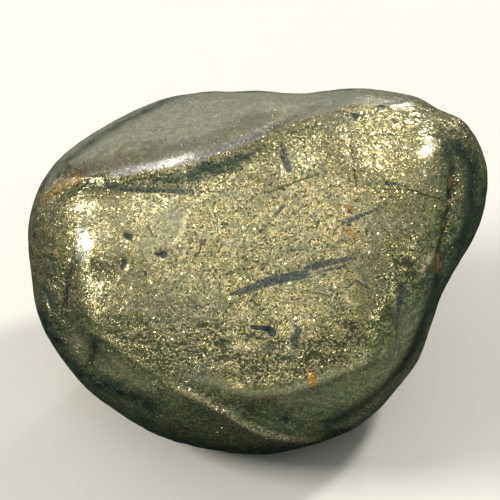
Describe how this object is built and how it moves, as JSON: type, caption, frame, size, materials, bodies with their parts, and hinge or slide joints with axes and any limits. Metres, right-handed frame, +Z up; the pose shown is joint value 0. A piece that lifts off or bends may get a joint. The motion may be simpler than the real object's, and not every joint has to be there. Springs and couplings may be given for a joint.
{
  "type": "chalcopyrite specimen",
  "caption": "Tumbled and polished chalcopyrite pebble: a rounded brassy ore stone with a worn top facet, a rusty groove down its right side and a small flat to rest on.",
  "frame": {"origin": "On the surface that the pebble lies on, in its rest flat, under its centre of mass", "axes": "+Z is up, +X runs to the right along the pebble's length, and -Y is the front, where the broad face looks forward and up"},
  "size_m": [0.03, 0.0236, 0.0205],
  "materials": {
    "ore": "tumbled and polished, with a fine brassy metal grain"
  },
  "bodies": {
    "root": {"pebble": "ore"}
  },
  "joints": []
}
